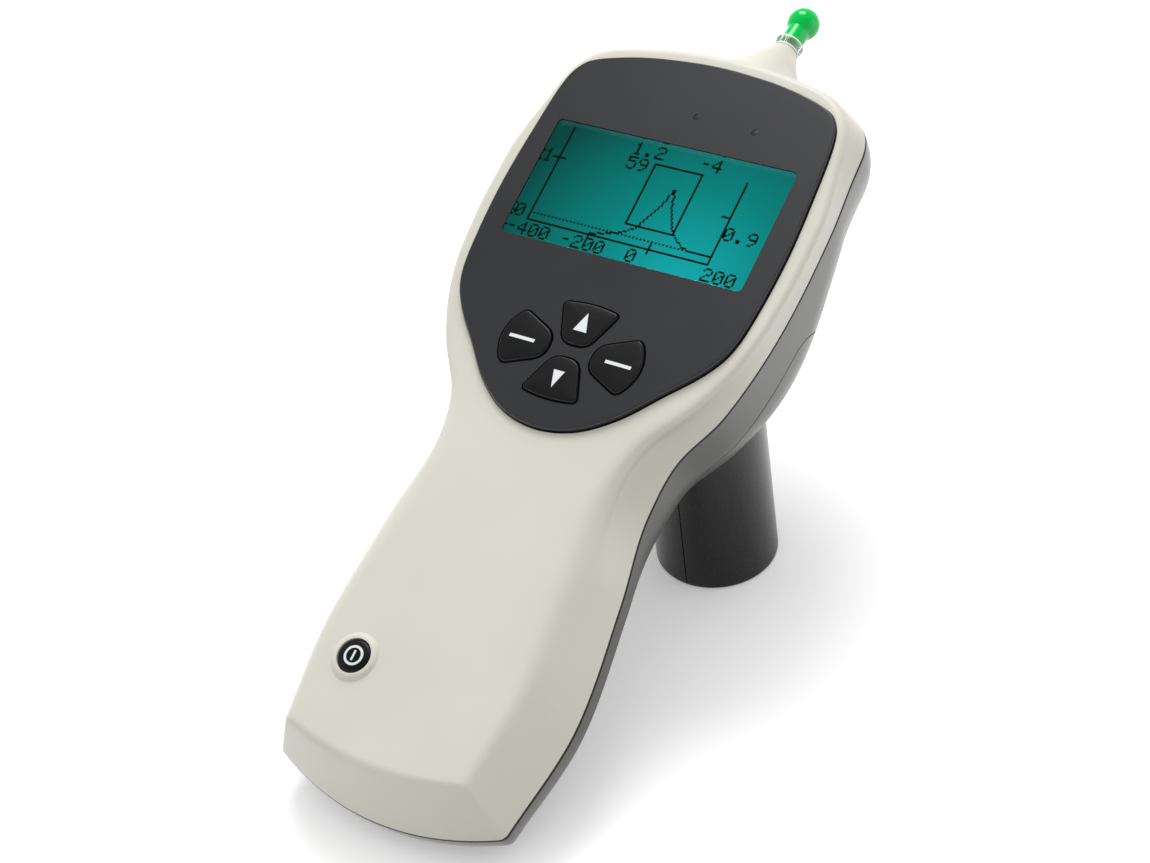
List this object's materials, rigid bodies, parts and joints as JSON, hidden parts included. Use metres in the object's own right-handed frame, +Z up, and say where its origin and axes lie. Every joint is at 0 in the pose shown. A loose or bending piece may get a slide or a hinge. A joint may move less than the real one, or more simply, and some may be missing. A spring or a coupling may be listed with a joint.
{
  "type": "tympanometer",
  "caption": "Hand-held screening tympanometer: waisted shell, display, fan-shaped keys, soft ear tip on a nose cone and a round battery pod it stands on.",
  "frame": {"origin": "middle of the part's outline on the surface that it stands on, on its pod and tail", "axes": "+Z up, +Y from the tail towards the ear probe, +X to the user's right"},
  "size_m": [0.082, 0.2066, 0.1004],
  "materials": {
    "cream_abs": "fine satin texture",
    "grey_abs": "fine satin texture",
    "charcoal_panel": "satin film",
    "black_key_rubber": "smooth",
    "clear_plastic": "clear",
    "lcd_glass": "smooth, lit from behind",
    "white_plastic": "moulded",
    "grey_silicone": "matt",
    "clear_tube_rubber": "smooth",
    "green_board": "solder resist",
    "black_plastic": "moulded",
    "bright_steel": "plated",
    "nickel_plate": "nickel plated",
    "cell_sleeve": "printed sleeve, left plain",
    "green_silicone": "smooth, slightly translucent"
  },
  "bodies": {
    "housing": {"top_shell": "cream_abs", "bottom_shell": "grey_abs", "battery_housing": "grey_abs", "cell_1": "cell_sleeve", "cell_2": "cell_sleeve", "cell_3": "cell_sleeve", "cell_4": "cell_sleeve", "pod_contact": "nickel_plate", "battery_springs": "nickel_plate", "display_panel": "charcoal_panel", "display_window": "clear_plastic", "left_light_guide": "clear_plastic", "right_light_guide": "clear_plastic", "lcd_glass": "lcd_glass", "lcd_backlight": "white_plastic", "key_mat": "grey_silicone", "power_switch": "black_plastic", "main_board": "green_board", "housing_screw_1": "bright_steel", "housing_screw_2": "bright_steel", "housing_screw_3": "bright_steel", "housing_screw_4": "bright_steel", "probe_block": "black_plastic", "probe_tube": "bright_steel", "pump_motor": "bright_steel", "pump_bracket": "bright_steel", "pump_barrel": "white_plastic", "receiver": "bright_steel", "microphone": "bright_steel", "pressure_sensor": "black_plastic", "air_tube": "clear_tube_rubber"},
    "cover": {"battery_cover": "grey_abs", "cover_contact": "nickel_plate"},
    "up_key": {"key_up": "black_key_rubber"},
    "left_key": {"key_left": "black_key_rubber"},
    "down_key": {"key_down": "black_key_rubber"},
    "right_key": {"key_right": "black_key_rubber"},
    "on_off_key": {"power_key": "black_key_rubber"},
    "cone": {"nose_cone": "cream_abs", "cone_ring": "clear_plastic"},
    "tip": {"ear_tip": "green_silicone"},
    "piston": {"pump_piston": "white_plastic"},
    "screw": {"pump_screw": "bright_steel"}
  },
  "joints": [
    {"name": "battery_cover_off", "type": "slide", "parent": "housing", "child": "cover", "axis": [-1, 0, 0], "range_m": [0, 0.03]},
    {"name": "up_key_press", "type": "slide", "parent": "housing", "child": "up_key", "axis": [0, 0.4226, -0.9063], "range_m": [0, 0.0008], "stiffness_N_per_m": 600},
    {"name": "left_key_press", "type": "slide", "parent": "housing", "child": "left_key", "axis": [0, 0.4226, -0.9063], "range_m": [0, 0.0008], "stiffness_N_per_m": 600},
    {"name": "down_key_press", "type": "slide", "parent": "housing", "child": "down_key", "axis": [0, 0.4226, -0.9063], "range_m": [0, 0.0008], "stiffness_N_per_m": 600},
    {"name": "right_key_press", "type": "slide", "parent": "housing", "child": "right_key", "axis": [0, 0.4226, -0.9063], "range_m": [0, 0.0008], "stiffness_N_per_m": 600},
    {"name": "power_key_press", "type": "slide", "parent": "housing", "child": "on_off_key", "axis": [0, 0.4226, -0.9063], "range_m": [0, 0.0008], "stiffness_N_per_m": 600},
    {"name": "nose_cone_off", "type": "slide", "parent": "housing", "child": "cone", "axis": [0, 0.9744, 0.225], "range_m": [0, 0.028]},
    {"name": "ear_tip_off", "type": "slide", "parent": "cone", "child": "tip", "axis": [0, 0.9744, 0.225], "range_m": [0, 0.015]},
    {"name": "piston_stroke", "type": "slide", "parent": "housing", "child": "piston", "axis": [0, 0.9063, 0.4226], "range_m": [0, 0.012]},
    {"name": "screw_turn", "type": "hinge", "parent": "housing", "child": "screw", "pos_m": [-0.01599, -0.00387, 0.04987], "axis": [0, 0.9063, 0.4226], "range_deg": [0, 2880]}
  ],
  "couplings": [
    {"joint": "screw_turn", "follows": "piston_stroke", "rad_per_m": 4188.8}
  ]
}
